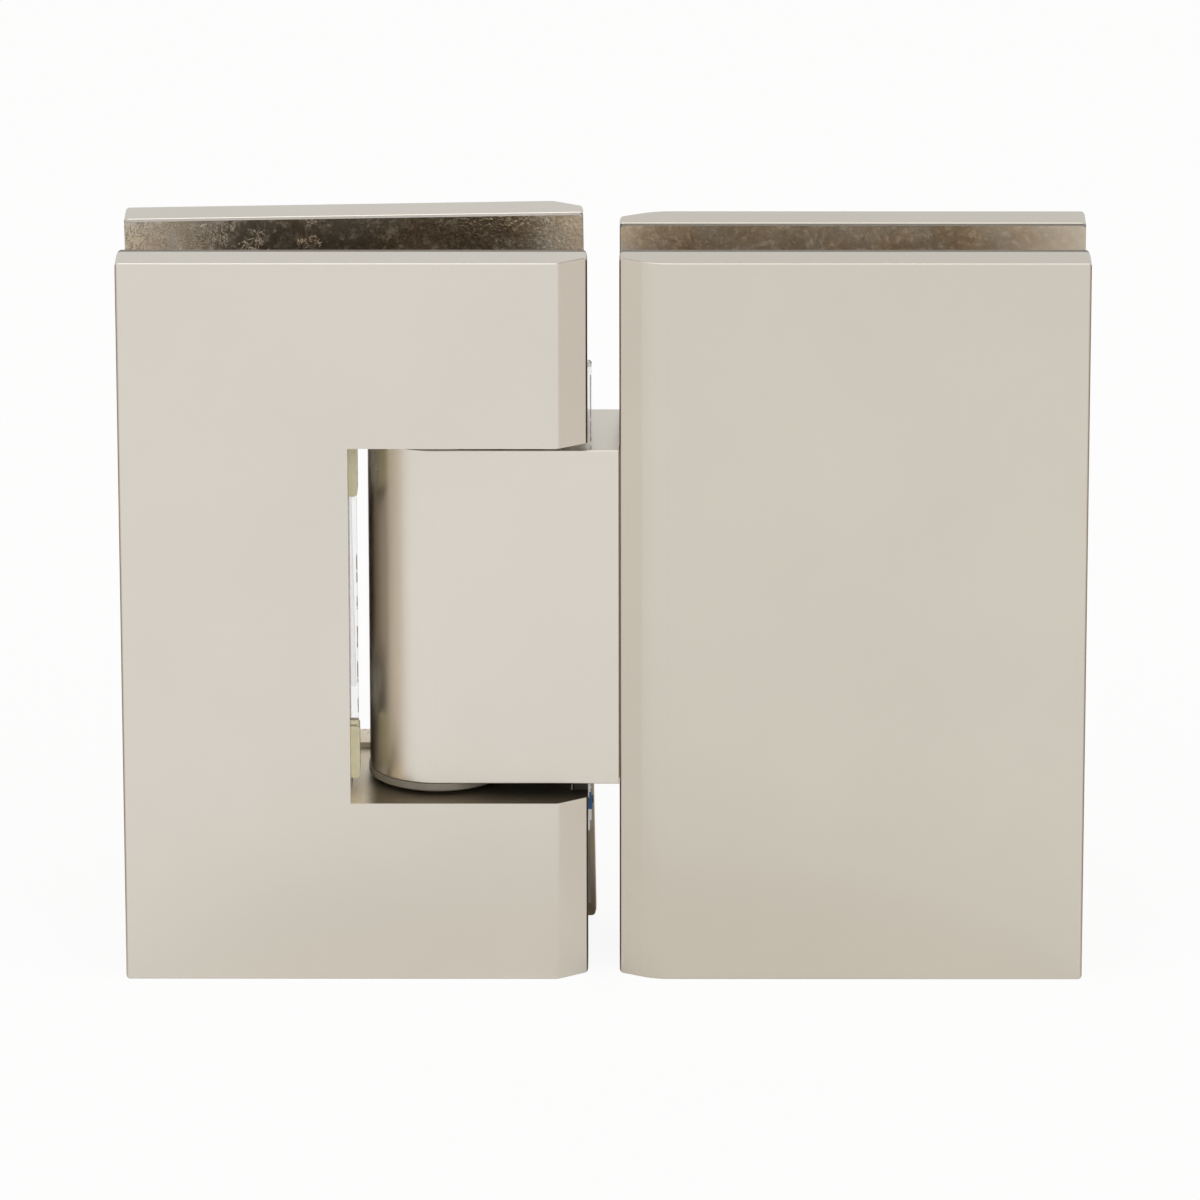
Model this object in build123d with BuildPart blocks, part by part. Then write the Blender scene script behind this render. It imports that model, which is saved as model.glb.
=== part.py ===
from build123d import *
from math import cos, radians, sin
import os

# Glass-to-glass shower door hinge, millimetres.
# +X runs from the door leaf to the fixed leaf, +Y to the back, +Z up. z = 0 is the plates' lower edges.

# Leaves
leaf_height = 90.0
leaf_width = 55.7
leaf_gap = 3.8
plate_thickness = 5.0
fixed_gap = 12.1  # between the fixed leaf's plates, drawn in onto the block's tongue
door_gap = 15.1  # between the door leaf's plates, which stand on the pin lugs
edge_round = 0.2
outline_round = 0.55  # of each plate's four corners, seen from the front
corner_round = 0.5
inner_corner_round = 0.6
mouth_corner_round = 0.4  # at the glass side of the edges that face the other leaf
door_bevel_width = 3.6
door_bevel_depth = 2.4
door_bevel_blend = 1.0
fixed_bevel_width = 4.2
fixed_bevel_depth = 2.3
fixed_bevel_blend = 7.0
bevel_foot_round = 0.5

# The door's back plate lies loose, turned a little in its own plane, smaller and more deeply notched
loose_turn = 0.96
loose_shift_x = 0.5
loose_shift_z = 0.33
loose_width_trim = 0.7
loose_height_trim = 0.6
loose_notch_gain = 1.1
loose_notch_height_trim = 0.4

# Notch, pivot block and pin
notch_depth = 28.45
notch_height = 44.6
notch_drop = 0.23  # the notch's middle below the leaf's
pivot_setback = 18.1  # pivot axis from the door leaf's inner edge
block_thickness = 16.5
block_rest_gap = 1.53  # from the block to the notch's lower side; the bush's flange sets the upper gap
block_round = 0.15
tongue_length = 20.1
pin_diameter = 10.0
pin_key = 8.0  # across the flats of the pin's square ends
pin_key_length = 9.0
cam_flats = 8.8  # across the flats of the detent cam
cam_length = 24.0
cam_bore_clearance = 0.4
bush_diameter = 13.0
bush_length = 7.5
flange_diameter = 16.8
flange_thickness = 0.95
flange_chamfer = 0.2
lug_height = 10.4
lug_end_gap = 2.0  # from the lug to the leaf's inner edge

# Clearances
running_clearance = 0.03
seat_clearance = 0.02
slip_clearance = 0.05
thread_clearance = 0.05
flange_play = 0.1
bolt_clearance = 0.3

# Detent
plunger_diameter = 6.6
plunger_length = 8.0
plunger_chamfer = 0.3
plunger_spigot_diameter = 3.2
plunger_spigot_length = 3.0
plunger_spacing = 13.0
spring_wire = 1.2
spring_turns = 7.5
adjuster_diameter = 8.0
adjuster_length = 8.0
adjuster_key = 4.0

# Screws
screw_diameter = 6.0
screw_head_diameter = 11.3
screw_head_angle = 90.0
screw_key = 4.0
screw_key_depth = 2.4
screw_sink = 0.2  # heads below the plate's face
web_screw_setback = 37.3  # the setbacks are from the leaf's inner edge
web_screw_spread = 30.0
outer_screw_setback = 34.1
outer_screw_spread = 30.0
tongue_screw_setback = 10.1
tongue_screw_inset = 5.0  # from the tongue's ends
fixed_screw_length = 20.0
web_screw_length = 22.0
lug_screw_length = 16.0
thread_runout = 0.8
boss_diameter = 11.0
boss_height = 5.5
sleeve_diameter = 9.6
sleeve_end_gap = 0.15
set_screw_diameter = 6.0
set_screw_key = 3.0

# Gaskets and pads
gasket_thickness = 1.0
gasket_inset = 0.1
gasket_corner = 0.5
gasket_tab_round = 0.4
gasket_tab_stand_out = 0.5
gasket_stand_out = 0.9
gasket_window = 0.3
gasket_mouth = 1.0  # how far the lug windows run out into the notch
upper_tab_height = 10.0
lower_tab_height = 6.4
wall_strip_gap = 0.3  # between the strip and the pads above and below it
pad_height = 6.5
pad_depth = 3.0
pad_width = 4.0
pad_stand_out = 1.0
pad_corner = 0.4

# Positions that follow from the sizes
middle_z = leaf_height / 2
edge_x = leaf_gap / 2
outer_x = edge_x + leaf_width
front_y = -(door_gap / 2 + plate_thickness)
inner_y = front_y + plate_thickness
fixed_back_y = inner_y + fixed_gap
door_back_y = inner_y + door_gap
fixed_rear_y = fixed_back_y + plate_thickness
door_rear_y = door_back_y + plate_thickness
pivot_x = -(edge_x + pivot_setback)
pivot_y = inner_y + fixed_gap / 2
wall_x = -(edge_x + notch_depth)
loose_width = leaf_width - loose_width_trim
loose_height = leaf_height - loose_height_trim
loose_notch_depth = notch_depth + loose_notch_gain
loose_notch_height = notch_height - loose_notch_height_trim
block_radius = block_thickness / 2
block_height = notch_height - block_rest_gap - flange_thickness - seat_clearance - flange_play
notch_z = middle_z - notch_drop
block_bottom = notch_z - notch_height / 2 + block_rest_gap
block_z = block_bottom + block_height / 2
pad_rise = (block_height - pad_height) / 2  # the pads end level with the block
wall_strip_height = 2 * (pad_rise - wall_strip_gap) - pad_height
lug_end_x = -(edge_x + lug_end_gap)
lug_length = lug_end_x - wall_x
lug_rise = notch_height / 2 + lug_height / 2  # of the lugs' middles from the notch's
pin_radius = pin_diameter / 2
shaft_length = notch_height - 2 * flange_play
lug_screw_x = (pivot_x + pin_key / 2 + lug_end_x) / 2


def pair(x, middle, spread):
    """Two places in x and z, this far apart about a middle height."""
    return [(x, middle - spread / 2), (x, middle + spread / 2)]


web_screws = pair(-(edge_x + web_screw_setback), middle_z, web_screw_spread)
lug_screws = pair(lug_screw_x, notch_z, 2 * lug_rise)
tongue_screws = pair(edge_x + tongue_screw_setback, block_z, block_height - 2 * tongue_screw_inset)
outer_screws = pair(edge_x + outer_screw_setback, middle_z, outer_screw_spread)
pin_ends = pair(pivot_x, notch_z, 2 * lug_rise)

turn = radians(loose_turn)
loose_x = -(edge_x + leaf_width / 2) + loose_shift_x
loose_z = middle_z + loose_shift_z
loose_along = (cos(turn), 0, sin(turn))
loose_up = (-sin(turn), 0, cos(turn))


def facing_front(y):
    """The upright plane at this depth, drawn in x and z."""
    return Plane.XZ.offset(-y)


def loose_plane(y):
    """The same, turned with the door's back plate and centred on it."""
    return Plane(origin=(loose_x, y, loose_z), x_dir=loose_along, z_dir=(0, -1, 0))


def from_back(points, y):
    """Places on a plate's rear face, each with its axis pointing out of it."""
    return [Plane(origin=(x, y, z), z_dir=(0, 1, 0)) for x, z in points]


def from_gap(points, y):
    """Places on a front plate's inner face, each with its axis pointing into the gap."""
    return from_back(points, y)


def loose_local(point):
    """A place in x and z, as the door's back plate's own plane states it."""
    dx, dz = point[0] - loose_x, point[1] - loose_z
    return (dx * cos(turn) + dz * sin(turn), dz * cos(turn) - dx * sin(turn))


def plate_profile(near, far, inside, outside, bevel):
    """Cross-section of one plate: near is the edge that faces the other leaf."""
    width, depth, blend = bevel
    side = 1 if far > near else -1
    step = 1 if outside > inside else -1
    bevel_start = (near, outside - step * depth)
    bevel_end = (near + side * width, outside)
    with BuildSketch() as profile:
        with BuildLine():
            Polyline((near, inside), bevel_start, bevel_end, (far, outside), (far, inside), close=True)
        make_face()
        corners = profile.vertices()
        fillet(corners.sort_by_distance(bevel_end)[0], blend)
        corners = profile.vertices()
        fillet(corners.sort_by_distance(bevel_start)[0], bevel_foot_round)
        corners = profile.vertices()
        fillet(corners.sort_by_distance((far, outside))[0], corner_round)
        corners = profile.vertices()
        fillet(corners.sort_by_distance((far, inside))[0], inner_corner_round)
        corners = profile.vertices()
        fillet(corners.sort_by_distance((near, inside))[0], mouth_corner_round)
    return profile.sketch


door_bevel = (door_bevel_width, door_bevel_depth, door_bevel_blend)
fixed_bevel = (fixed_bevel_width, fixed_bevel_depth, fixed_bevel_blend)


def round_ends(builder):
    """Rounds all the edges of the plate's top and bottom."""
    ends = builder.faces().filter_by(Axis.Z).sort_by(Axis.Z)
    fillet(ends[0].edges() + ends[-1].edges(), edge_round)


def plate_outline(side):
    """The plate as seen from the front, with its corners rounded. side is -1 for the door leaf."""
    with BuildSketch() as outline:
        with Locations((side * (edge_x + leaf_width / 2), middle_z)):
            RectangleRounded(leaf_width, leaf_height, outline_round)
    return outline.sketch


# Fixed leaf's front plate, with two threaded bosses on its inner face
with BuildPart() as fixed_front_plate:
    extrude(plate_profile(edge_x, outer_x, inner_y, front_y, fixed_bevel), amount=leaf_height)
    round_ends(fixed_front_plate)
    extrude(facing_front(inner_y) * plate_outline(1), amount=plate_thickness, mode=Mode.INTERSECT)
    with BuildSketch(facing_front(inner_y)):
        with Locations(*outer_screws):
            Circle(boss_diameter / 2)
    extrude(amount=-boss_height)
    with Locations(*from_gap(outer_screws, inner_y + boss_height)):
        Hole(screw_diameter / 2, depth=boss_height + plate_thickness - thread_runout)
    with Locations(*from_gap(tongue_screws, inner_y)):
        Hole(screw_diameter / 2, depth=plate_thickness - thread_runout)

# Fixed leaf's back plate
with BuildPart() as fixed_back_plate:
    extrude(plate_profile(edge_x, outer_x, fixed_back_y, fixed_rear_y, fixed_bevel), amount=leaf_height)
    round_ends(fixed_back_plate)
    extrude(facing_front(fixed_rear_y) * plate_outline(1), amount=plate_thickness, mode=Mode.INTERSECT)
    with Locations(*from_back(outer_screws + tongue_screws, fixed_rear_y)):
        CounterSinkHole(
            screw_diameter / 2 + bolt_clearance,
            screw_head_diameter / 2 + screw_sink + slip_clearance,
            counter_sink_angle=screw_head_angle,
        )

# Door leaf's front plate: a C with two lugs that hold the pin's ends
with BuildPart() as door_front_plate:
    extrude(plate_profile(-edge_x, -outer_x, inner_y, front_y, door_bevel), amount=leaf_height)
    round_ends(door_front_plate)
    extrude(facing_front(inner_y) * plate_outline(-1), amount=plate_thickness, mode=Mode.INTERSECT)
    with BuildSketch(facing_front(inner_y)):
        with Locations((-edge_x - notch_depth / 2, notch_z)):
            Rectangle(notch_depth, notch_height)
    extrude(amount=plate_thickness, mode=Mode.SUBTRACT)
    with BuildSketch(facing_front(inner_y)):
        with Locations(*[(wall_x + lug_length / 2, z) for _, z in pin_ends]):
            Rectangle(lug_length, lug_height)
    extrude(amount=-(door_gap - slip_clearance))
    with BuildSketch(facing_front(door_back_y)):
        with Locations(*pair(pivot_x, notch_z, notch_height + pin_key_length)):
            Rectangle(pin_key + 2 * slip_clearance, pin_key_length + 2 * slip_clearance)
    extrude(amount=door_back_y - pivot_y + pin_key / 2 + slip_clearance, mode=Mode.SUBTRACT)
    with BuildSketch(facing_front(inner_y)):
        with Locations(*web_screws):
            Circle(boss_diameter / 2)
    extrude(amount=-boss_height)
    with Locations(*from_gap(web_screws, inner_y + boss_height)):
        Hole(screw_diameter / 2, depth=boss_height + plate_thickness - thread_runout)
    with Locations(*from_gap(lug_screws, door_back_y)):
        Hole(screw_diameter / 2, depth=lug_screw_length - plate_thickness + thread_runout)

# Door leaf's back plate: a loose C, turned in its own plane
with BuildPart() as door_back_plate:
    upright = Plane(origin=(loose_x, 0, loose_z), x_dir=loose_along, z_dir=loose_up)
    half = loose_width / 2
    loose_section = plate_profile(half, -half, door_back_y, door_rear_y, door_bevel)
    extrude(upright.offset(-loose_height / 2) * loose_section, amount=loose_height)
    ends = door_back_plate.faces().filter_by(lambda f: abs(f.normal_at().dot(Vector(*loose_up))) > 0.999)
    fillet(ends[0].edges() + ends[1].edges(), edge_round)
    with BuildSketch(loose_plane(door_rear_y)):
        RectangleRounded(loose_width, loose_height, outline_round)
    extrude(amount=plate_thickness, mode=Mode.INTERSECT)
    with BuildSketch(loose_plane(door_back_y)):
        with Locations((half - loose_notch_depth / 2, 0)):
            Rectangle(loose_notch_depth, loose_notch_height)
    extrude(amount=-plate_thickness, mode=Mode.SUBTRACT)
    with Locations(*from_back(web_screws + lug_screws, door_rear_y)):
        CounterSinkHole(
            screw_diameter / 2 + bolt_clearance,
            screw_head_diameter / 2 + screw_sink + slip_clearance,
            counter_sink_angle=screw_head_angle,
        )
    with Locations(*from_back(pin_ends, door_rear_y)):
        Hole(set_screw_diameter / 2)

# Pivot block with its tongue, bored for the pin, the bushes and the detents
with BuildPart() as pivot_block:
    shoulder_x = edge_x - slip_clearance
    with BuildSketch(Plane.XY.offset(block_bottom)):
        with Locations((pivot_x, pivot_y)):
            Circle(block_radius)
        with Locations(((pivot_x + shoulder_x) / 2, pivot_y)):
            Rectangle(shoulder_x - pivot_x, block_thickness)
    extrude(amount=block_height)
    rims = pivot_block.faces().filter_by(Axis.Z).edges()
    fillet(rims.filter_by(lambda e: e.center().X < shoulder_x - block_round), block_round)
    with BuildSketch(Plane.XY.offset(block_bottom)):
        with Locations((shoulder_x + tongue_length / 2, pivot_y)):
            Rectangle(tongue_length, fixed_gap - 2 * slip_clearance)
    extrude(amount=block_height)
    with BuildSketch(Plane.XY.offset(block_bottom)):
        with Locations((pivot_x, pivot_y)):
            Circle(pin_radius + cam_bore_clearance)
    extrude(amount=block_height, mode=Mode.SUBTRACT)
    for start in (block_bottom, block_bottom + block_height - bush_length - seat_clearance):
        with BuildSketch(Plane.XY.offset(start)):
            with Locations((pivot_x, pivot_y)):
                Circle(bush_diameter / 2 + seat_clearance)
        extrude(amount=bush_length + seat_clearance, mode=Mode.SUBTRACT)
    tongue_end = shoulder_x + tongue_length
    plunger_places = [(pivot_y, block_z + side * plunger_spacing / 2) for side in (-1, 1)]
    with BuildSketch(Plane.YZ.offset(pivot_x)):
        with Locations(*plunger_places):
            Circle(plunger_diameter / 2 + running_clearance)
    extrude(amount=tongue_end - pivot_x, mode=Mode.SUBTRACT)
    with BuildSketch(Plane.YZ.offset(tongue_end)):
        with Locations(*plunger_places):
            Circle(adjuster_diameter / 2 + thread_clearance)
    extrude(amount=-(adjuster_length + thread_runout), mode=Mode.SUBTRACT)
    with BuildSketch(facing_front(fixed_back_y)):
        with Locations(*tongue_screws):
            Circle(screw_diameter / 2 + bolt_clearance)
    extrude(amount=fixed_gap, mode=Mode.SUBTRACT)


# Flanged bush pressed into one end of the block; the other end's is its mirror
with BuildPart() as lower_bush:
    flange_z = block_bottom - seat_clearance
    with BuildSketch(Plane.XY.offset(flange_z)):
        with Locations((pivot_x, pivot_y)):
            Circle(flange_diameter / 2)
    extrude(amount=-flange_thickness)
    chamfer(lower_bush.faces().sort_by(Axis.Z)[0].edges(), flange_chamfer)
    with BuildSketch(Plane.XY.offset(flange_z)):
        with Locations((pivot_x, pivot_y)):
            Circle(bush_diameter / 2)
    extrude(amount=bush_length)
    with BuildSketch(Plane.XY.offset(flange_z - flange_thickness)):
        with Locations((pivot_x, pivot_y)):
            Circle(pin_radius + running_clearance)
    extrude(amount=flange_thickness + bush_length, mode=Mode.SUBTRACT)

with BuildPart() as upper_bush:
    mirror(lower_bush.part, about=Plane.XY.offset(block_z))

# Pin: square ends for the lugs, a round shaft for the bushes and a four-sided detent cam between
with BuildPart() as hinge_pin:
    shaft_bottom = notch_z - shaft_length / 2
    key_bottom = shaft_bottom - pin_key_length
    journal = (shaft_length - cam_length) / 2
    key = (pin_key, pin_key_length)
    sections = [key, (None, journal), (cam_flats, cam_length), (None, journal), key]
    start = key_bottom
    for across_flats, length in sections:
        with BuildSketch(Plane.XY.offset(start)):
            with Locations((pivot_x, pivot_y)):
                Circle(pin_radius)
                if across_flats:
                    Rectangle(across_flats, across_flats, mode=Mode.INTERSECT)
        extrude(amount=length)
        start += length


def plunger(z):
    """One detent plunger, modelled lifted clear of the cam's round corners."""
    tip_x = pivot_x + pin_radius + running_clearance
    with BuildPart() as piece:
        with BuildSketch(Plane.YZ.offset(tip_x)):
            with Locations((pivot_y, z)):
                Circle(plunger_diameter / 2)
        extrude(amount=plunger_length)
        chamfer(piece.faces().sort_by(Axis.X)[0].edges(), plunger_chamfer)
        with BuildSketch(Plane.YZ.offset(tip_x + plunger_length)):
            with Locations((pivot_y, z)):
                Circle(plunger_spigot_diameter / 2)
        extrude(amount=plunger_spigot_length)
    return piece.part


def detent_spring(z):
    """A compression spring from the plunger's tail to the adjuster."""
    start_x = pivot_x + pin_radius + running_clearance + plunger_length + spring_wire / 2
    end_x = tongue_end - adjuster_length - spring_wire / 2
    coil_radius = (plunger_diameter - spring_wire) / 2 - slip_clearance
    length = end_x - start_x - 2 * slip_clearance
    centre = (start_x + slip_clearance, pivot_y, z)
    with BuildPart() as piece:
        with BuildLine():
            coil = Helix(length / spring_turns, length, coil_radius, center=centre, direction=(1, 0, 0))
        with BuildSketch(Plane(origin=coil @ 0, z_dir=coil % 0)):
            Circle(spring_wire / 2)
        sweep(path=coil, is_frenet=True)
    return piece.part


lower_z, upper_z = [z for _, z in plunger_places]

with BuildPart() as lower_detent_plunger:
    add(plunger(lower_z))

with BuildPart() as upper_detent_plunger:
    add(plunger(upper_z))

with BuildPart() as lower_detent_spring:
    add(detent_spring(lower_z))

with BuildPart() as upper_detent_spring:
    add(detent_spring(upper_z))

# Set screws that close the detent bores and set the springs' load
with BuildPart() as detent_adjusters:
    with BuildSketch(Plane.YZ.offset(tongue_end)):
        with Locations(*plunger_places):
            Circle(adjuster_diameter / 2)
    extrude(amount=-adjuster_length)
    with BuildSketch(Plane.YZ.offset(tongue_end)):
        with Locations(*plunger_places):
            RegularPolygon(adjuster_key / 2, 6, major_radius=False)
    extrude(amount=-adjuster_length / 2, mode=Mode.SUBTRACT)


def countersunk_screws(points, rear_y, length):
    """Hexagon-socket countersunk screws put in from the back."""
    head_y = rear_y - screw_sink
    head_radius = screw_head_diameter / 2
    shank_radius = screw_diameter / 2 - thread_clearance
    cone = head_radius - shank_radius
    places = from_back(points, head_y)
    with BuildPart() as pieces:
        with BuildSketch(*places):
            Circle(shank_radius)
        extrude(amount=-length)
        with BuildSketch(*places):
            Circle(head_radius)
        extrude(amount=-cone, taper=screw_head_angle / 2)
        with BuildSketch(*places):
            RegularPolygon(screw_key / 2, 6, major_radius=False)
        extrude(amount=-screw_key_depth, mode=Mode.SUBTRACT)
    return pieces.part


with BuildPart() as fixed_clamp_screws:
    add(countersunk_screws(outer_screws + tongue_screws, fixed_rear_y, fixed_screw_length))

with BuildPart() as door_clamp_screws:
    add(countersunk_screws(web_screws, door_rear_y, web_screw_length))

with BuildPart() as door_lug_screws:
    add(countersunk_screws(lug_screws, door_rear_y, lug_screw_length))

# Set screws that hold the pin's square ends down in the lugs
with BuildPart() as pin_set_screws:
    set_places = from_back(pin_ends, door_rear_y - screw_sink)
    with BuildSketch(*set_places):
        Circle(set_screw_diameter / 2 - thread_clearance)
    extrude(amount=-(door_rear_y - screw_sink - pivot_y - pin_key / 2 - slip_clearance))
    with BuildSketch(*set_places):
        RegularPolygon(set_screw_key / 2, 6, major_radius=False)
    extrude(amount=-set_screw_key, mode=Mode.SUBTRACT)


def sleeves(points, back_y):
    """Tubes round the outer screws, between the front plate's bosses and the back plate."""
    start = inner_y + boss_height + sleeve_end_gap
    with BuildPart() as pieces:
        with BuildSketch(facing_front(start)):
            with Locations(*points):
                Circle(sleeve_diameter / 2)
                Circle(screw_diameter / 2 + bolt_clearance, mode=Mode.SUBTRACT)
        extrude(amount=-(back_y - sleeve_end_gap - start))
    return pieces.part


with BuildPart() as fixed_screw_sleeves:
    add(sleeves(outer_screws, fixed_back_y))

with BuildPart() as door_screw_sleeves:
    add(sleeves(web_screws, door_back_y))


def fixed_gasket(back_y):
    """Sheet for one of the fixed leaf's plates, cut out for the tongue and the screws."""
    window = tongue_length + gasket_window
    width = leaf_width - 2 * gasket_inset
    with BuildPart() as piece:
        with BuildSketch(facing_front(back_y)):
            with Locations((edge_x + leaf_width / 2, middle_z)):
                RectangleRounded(width, leaf_height - 2 * gasket_inset, gasket_corner)
            with Locations((edge_x + window / 2, block_z)):
                Rectangle(window, block_height + 2 * gasket_window, mode=Mode.SUBTRACT)
            with Locations(*outer_screws):
                Circle(boss_diameter / 2 + gasket_window, mode=Mode.SUBTRACT)
        extrude(amount=gasket_thickness)
    return piece.part


with BuildPart() as fixed_front_gasket:
    add(fixed_gasket(inner_y + gasket_thickness))

with BuildPart() as fixed_back_gasket:
    add(fixed_gasket(fixed_back_y))


def door_gasket_cuts(place, pads):
    """Everything cut out of a door gasket. place turns x and z into the sketch's own."""
    with BuildSketch() as cuts:
        for side in (-1, 1):
            window_z = notch_z + side * (lug_rise - gasket_mouth / 2)
            with Locations(place(((wall_x + lug_end_x) / 2, window_z))):
                Rectangle(lug_length + 2 * gasket_window, lug_height + 2 * gasket_window + gasket_mouth)
        with Locations(*[place(point) for point in web_screws]):
            Circle(boss_diameter / 2 + gasket_window)
        if pads:
            for side in (-1, 1):
                with Locations(place((wall_x - pad_width / 2, block_z + side * pad_rise))):
                    Rectangle(pad_width + 2 * gasket_window, pad_height + 2 * gasket_window)
    return cuts.sketch


def door_gasket_sheet(centre, width, height, notch, strip_middle, tabs):
    """A C-shaped sheet with a strip that stands out at the notch wall and tabs beside the lugs.

    notch is its plate's notch depth and middle height, and tabs are spans in z.
    """
    depth, notch_middle = notch
    mouth_x = centre[0] + width / 2
    with BuildSketch() as sheet:
        with Locations(centre):
            RectangleRounded(width - 2 * gasket_inset, height - 2 * gasket_inset, gasket_corner)
        with Locations((mouth_x - depth / 2, notch_middle)):
            Rectangle(depth, notch_height, mode=Mode.SUBTRACT)
        with Locations((mouth_x - depth, strip_middle)):
            Rectangle(2 * gasket_stand_out, wall_strip_height)
        for low, high in tabs:
            with Locations((mouth_x - lug_end_gap / 2, (low + high) / 2)):
                Rectangle(lug_end_gap + 2 * gasket_tab_stand_out, high - low)
        corners = sheet.vertices().filter_by(lambda v: v.X > mouth_x)
        fillet(corners, gasket_tab_round)
    return sheet.sketch


with BuildPart() as door_front_gasket:
    front_face = facing_front(inner_y + gasket_thickness)
    front_centre = (-(edge_x + leaf_width / 2), middle_z)
    upper_tab = block_bottom + block_height + gasket_window
    lower_tab = block_bottom - gasket_window
    tabs = [(upper_tab, upper_tab + upper_tab_height), (lower_tab - lower_tab_height, lower_tab)]
    notch = (notch_depth, notch_z)
    front_sheet = door_gasket_sheet(front_centre, leaf_width, leaf_height, notch, block_z, tabs)
    extrude(front_face * front_sheet, amount=gasket_thickness)
    extrude(front_face * door_gasket_cuts(tuple, True), amount=gasket_thickness, mode=Mode.SUBTRACT)

# The back gasket lies on the loose plate and turns with it
with BuildPart() as door_back_gasket:
    back_face = loose_plane(door_back_y)
    notch = (loose_notch_depth, 0)
    back_sheet = door_gasket_sheet((0, 0), loose_width, loose_height, notch, block_z - loose_z, [])
    extrude(back_face * back_sheet, amount=gasket_thickness)
    extrude(back_face * door_gasket_cuts(loose_local, False), amount=gasket_thickness, mode=Mode.SUBTRACT)


def notch_pad(side):
    """Soft block in one corner of the notch wall, behind the front plate."""
    with BuildPart() as piece:
        with BuildSketch(facing_front(inner_y)):
            pad_x = wall_x + pad_stand_out - pad_width / 2
            with Locations((pad_x, block_z + side * pad_rise)):
                RectangleRounded(pad_width, pad_height, pad_corner)
        extrude(amount=-pad_depth)
    return piece.part


with BuildPart() as lower_notch_pad:
    add(notch_pad(-1))

with BuildPart() as upper_notch_pad:
    add(notch_pad(1))

pieces = {
    "fixed_front_plate": fixed_front_plate,
    "fixed_back_plate": fixed_back_plate,
    "fixed_front_gasket": fixed_front_gasket,
    "fixed_back_gasket": fixed_back_gasket,
    "fixed_clamp_screws": fixed_clamp_screws,
    "fixed_screw_sleeves": fixed_screw_sleeves,
    "pivot_block": pivot_block,
    "upper_bush": upper_bush,
    "lower_bush": lower_bush,
    "detent_adjusters": detent_adjusters,
    "upper_detent_spring": upper_detent_spring,
    "lower_detent_spring": lower_detent_spring,
    "upper_detent_plunger": upper_detent_plunger,
    "lower_detent_plunger": lower_detent_plunger,
    "door_front_plate": door_front_plate,
    "door_back_plate": door_back_plate,
    "door_front_gasket": door_front_gasket,
    "door_back_gasket": door_back_gasket,
    "door_clamp_screws": door_clamp_screws,
    "door_lug_screws": door_lug_screws,
    "door_screw_sleeves": door_screw_sleeves,
    "hinge_pin": hinge_pin,
    "pin_set_screws": pin_set_screws,
    "upper_notch_pad": upper_notch_pad,
    "lower_notch_pad": lower_notch_pad,
}

os.makedirs("parts", exist_ok=True)
for name, piece in pieces.items():
    piece.part.label = name
    export_step(piece.part, f"parts/{name}.step")
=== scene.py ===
from collections import namedtuple
from math import cos, pi, radians, sin

import bpy
from mathutils import Matrix, Vector

# Shower door hinge dressed for the camera. Metres; +X door to fixed leaf, +Y to the back, +Z up.

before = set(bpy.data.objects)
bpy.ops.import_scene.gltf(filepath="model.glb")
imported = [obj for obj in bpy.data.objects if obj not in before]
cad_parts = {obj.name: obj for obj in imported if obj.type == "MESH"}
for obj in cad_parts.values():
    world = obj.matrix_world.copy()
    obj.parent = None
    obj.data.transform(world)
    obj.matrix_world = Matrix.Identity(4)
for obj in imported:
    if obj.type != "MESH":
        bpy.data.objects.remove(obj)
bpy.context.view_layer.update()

MM = 0.001
WHITE = (1, 1, 1, 1)

# Camera, fitted to the plates' corners
LENS_MM = 303.41
SENSOR_MM = 36.0
CLIP = (0.01, 100.0)
PITCH = 18.4723
YAW = 0.33227
ROLL = -0.07873
DISTANCE = 1.21739
TARGET = (-0.000485, 0.0, 0.044028)

# Light
# How bright the surround is, by the angle in degrees from straight ahead of the front
SURROUND = (
    (0, (0.975, 0.975, 0.975)),
    (46, (0.975, 0.975, 0.975)),
    (57, (0.92, 0.87, 0.85)),
    (67, (0.84, 0.80, 0.76)),
    (80, (0.62, 0.54, 0.47)),
    (94, (0.44, 0.35, 0.26)),
    (107, (0.19, 0.13, 0.08)),
    (118, (0.10, 0.07, 0.045)),
    (128, (0.17, 0.14, 0.10)),
    (138, (0.72, 0.71, 0.70)),
    (150, (0.79, 0.79, 0.79)),
    (180, (0.79, 0.79, 0.79)),
)
FLOOR_SIZE = 8.0
FLOOR_COLOUR = (0.92, 0.92, 0.92)
FLOOR_SHOWN_WHITE = 0.92  # the share of plain white in the floor that the camera sees
FLOOR_MIRRORED = (1.00, 0.12)  # how much of the real floor a reflection shows, near the object and far
FLOOR_NEAR = (0.02, 0.10)  # how far out near ends and far begins
LAMP_POWER = 5.0
LAMP_SIZE = (1.6, 1.0)
LAMP_PLACE = (0.0, -0.35, 1.35)

# Below, a noise is (cells per metre, detail, distortion, roughness), its later numbers optional. A ramp is
# (from, to, result at from, result at to), with 0 and 1 as the results where it has only two numbers.
# A relief is (strength, height).
# A finish has faint clouds between two tones, bright edges of a width, a share and a tone, and a relief.
MIDDLE = (0.3, 0.7)  # the part of a noise that a ramp spreads out
NOISE_CENTRE = 0.5
SMOOTHEST = 0.28  # below this the picture's clean-up draws a line where the smoother metal starts

# Edges and directions
EDGE_SAMPLES = 2
SHARP = (0.99, 0.80)  # how well the rounded and flat directions agree, from a face to an edge
FACING = 0.7  # how much of a face's direction lies along an axis that it counts as facing
FACING_FRONT = -0.3

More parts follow.
